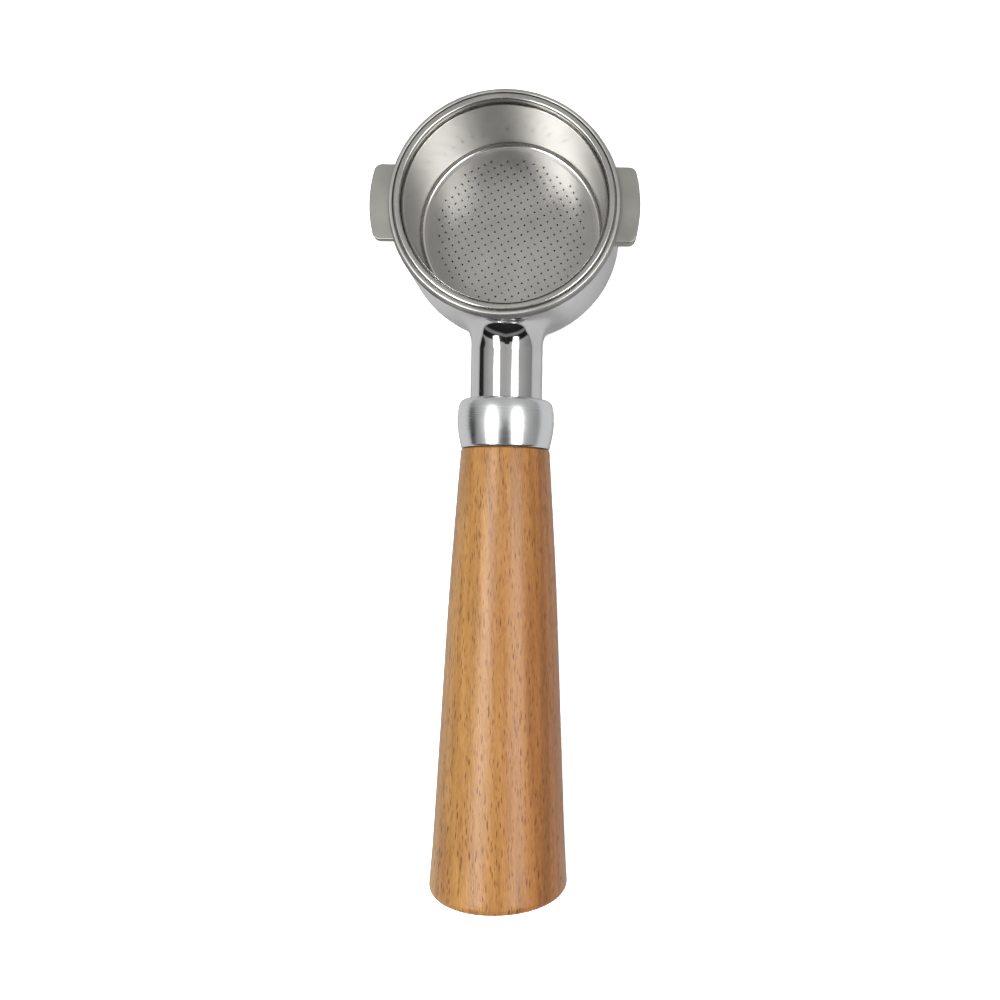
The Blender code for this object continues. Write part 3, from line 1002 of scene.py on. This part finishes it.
def strip_light(name, angle, breadth, radiance, yaw, distance=0.6, length=0.56, middle=-0.08):
    """A long soft light that runs along the handle, at an angle from straight up in the X-Z plane. Its yaw
    turns it in plan."""
    width = 2 * distance * math.tan(math.radians(breadth / 2))
    data = bpy.data.lights.new(name, "AREA")
    data.shape = "RECTANGLE"
    data.size = width
    data.size_y = length
    data.energy = radiance * math.pi * width * length
    fade_edges(data, 0.35, 0.15)
    lamp = bpy.data.objects.new(name, data)
    turn = math.radians(angle)
    lamp.location = (distance * math.sin(turn), middle, distance * math.cos(turn))
    lamp.rotation_euler = (0.0, turn, math.radians(yaw))
    lamp.visible_camera = False
    bpy.context.scene.collection.objects.link(lamp)


def plain_plane(name, size_x, size_y, location, rotation=(0.0, 0.0, 0.0)):
    mesh = bpy.data.meshes.new(name)
    x, y = size_x / 2, size_y / 2
    mesh.from_pydata([(-x, -y, 0), (x, -y, 0), (x, y, 0), (-x, y, 0)], [], [(0, 1, 2, 3)])
    plane = bpy.data.objects.new(name, mesh)
    plane.location = location
    plane.rotation_euler = rotation
    bpy.context.scene.collection.objects.link(plane)
    return plane


def make_floor():
    """A white table, which the camera sees overexposed. Its light on the object is that of a pale grey."""
    floor = plain_plane("floor", 8.0, 8.0, (0.0, 0.0, -0.0001))
    look = bpy.data.materials.new("white_table")
    look.use_nodes = True
    tree = look.node_tree
    path = tree.nodes.new("ShaderNodeLightPath")
    pick = tree.nodes.new("ShaderNodeMixShader")
    tree.links.new(path.outputs["Is Camera Ray"], pick.inputs[0])
    for index, level in ((1, FLOOR_LEVEL), (2, FLOOR_LEVEL_SEEN)):
        diffuse = tree.nodes.new("ShaderNodeBsdfDiffuse")
        diffuse.inputs["Color"].default_value = (level, level, level, 1.0)
        tree.links.new(diffuse.outputs[0], pick.inputs[index])
    tree.links.new(pick.outputs[0], tree.nodes["Material Output"].inputs["Surface"])
    floor.data.materials.append(look)


def make_dark_card(name, size_x, size_y, location, rotation):
    """A dark card that only reflections see, as a camera is."""
    card = plain_plane(name, size_x, size_y, location, rotation)
    look = bpy.data.materials.new(name)
    look.use_nodes = True
    shader = look.node_tree.nodes["Principled BSDF"]
    shader.inputs["Base Color"].default_value = (0.02, 0.019, 0.018, 1.0)
    shader.inputs["Roughness"].default_value = 0.9
    card.data.materials.append(look)
    card.visible_camera = False
    card.visible_shadow = False


def fill_ramp(ramp, stops):
    """Puts stops, each a position and a colour, on a colour ramp that has two."""
    while len(ramp.elements) < len(stops):
        ramp.elements.new(0.5)
    for element, (position, color) in zip(ramp.elements, stops):
        element.position = position
        element.color = color


def make_world():
    """A grey room, dark at the horizon to the left, and dark in bands over the handle's end, where the
    camera's operator stands. The camera itself sees white behind the table."""
    world = bpy.data.worlds.new("studio")
    bpy.context.scene.world = world
    world.use_nodes = True
    tree = world.node_tree

    def maths(operation, a, b):
        node = tree.nodes.new("ShaderNodeMath")
        node.operation = operation
        for socket, value in zip(node.inputs, (a, b)):
            if isinstance(value, float):
                socket.default_value = value
            else:
                tree.links.new(value, socket)
        return node.outputs[0]

    coords = tree.nodes.new("ShaderNodeTexCoord")
    split = tree.nodes.new("ShaderNodeSeparateXYZ")
    ramp = tree.nodes.new("ShaderNodeValToRGB")
    tree.links.new(coords.outputs["Generated"], split.inputs[0])
    tree.links.new(maths("ADD", maths("MULTIPLY", split.outputs["X"], 0.5), 0.5), ramp.inputs[0])
    room = [((x + 1.0) / 2.0, (level, level * 0.99, level * 0.97, 1.0)) for x, level in ROOM_LEVELS]
    fill_ramp(ramp.color_ramp, room)
    aside = maths("MULTIPLY", maths("ABSOLUTE", split.outputs["X"], 0.0), OPERATOR_SPREAD)
    towards = maths("SUBTRACT", maths("MULTIPLY", split.outputs["Y"], -1.0), aside)
    shade = tree.nodes.new("ShaderNodeValToRGB")
    shade.color_ramp.interpolation = "EASE"
    operator = [(lean, (level, level, level, 1.0)) for lean, level in OPERATOR_LEVELS]
    fill_ramp(shade.color_ramp, operator)
    tree.links.new(towards, shade.inputs["Fac"])
    background = tree.nodes["Background"]
    tree.links.new(ramp.outputs["Color"], background.inputs["Color"])
    tree.links.new(shade.outputs["Color"], background.inputs["Strength"])
    white = tree.nodes.new("ShaderNodeBackground")
    white.inputs["Color"].default_value = (1.0, 1.0, 1.0, 1.0)
    path = tree.nodes.new("ShaderNodeLightPath")
    pick = tree.nodes.new("ShaderNodeMixShader")
    tree.links.new(path.outputs["Is Camera Ray"], pick.inputs[0])
    tree.links.new(background.outputs[0], pick.inputs[1])
    tree.links.new(white.outputs[0], pick.inputs[2])
    tree.links.new(pick.outputs[0], tree.nodes["World Output"].inputs["Surface"])


def make_camera():
    """Straight above the table, a little to the right of the object, which it sees off its axis."""
    data = bpy.data.cameras.new("camera")
    data.sensor_width = 36.0
    data.lens = CAMERA_LENS
    data.shift_x, data.shift_y = CAMERA_SHIFT
    camera = bpy.data.objects.new("camera", data)
    camera.location = CAMERA_PLACE
    camera.rotation_euler.z = CAMERA_ROLL
    bpy.context.scene.collection.objects.link(camera)
    bpy.context.scene.camera = camera


def main():
    looks = make_looks()
    make_body(looks)
    make_basket(looks)
    make_spring(looks)
    make_stud(looks)
    make_lock_washer(looks)
    make_jam_nut(looks)
    make_grip_washer(looks)
    make_insert(looks)
    make_ferrule(looks)
    make_grip(looks)
    make_floor()
    make_dark_card("camera_body", *CARD_SIZE, CARD_PLACE, (math.pi, 0.0, 0.0))
    make_world()
    for name, numbers in STRIPS.items():
        strip_light(name, *numbers)
    make_camera()
    bpy.context.scene.view_settings.view_transform = "Standard"


main()

bpy.context.view_layer.update()
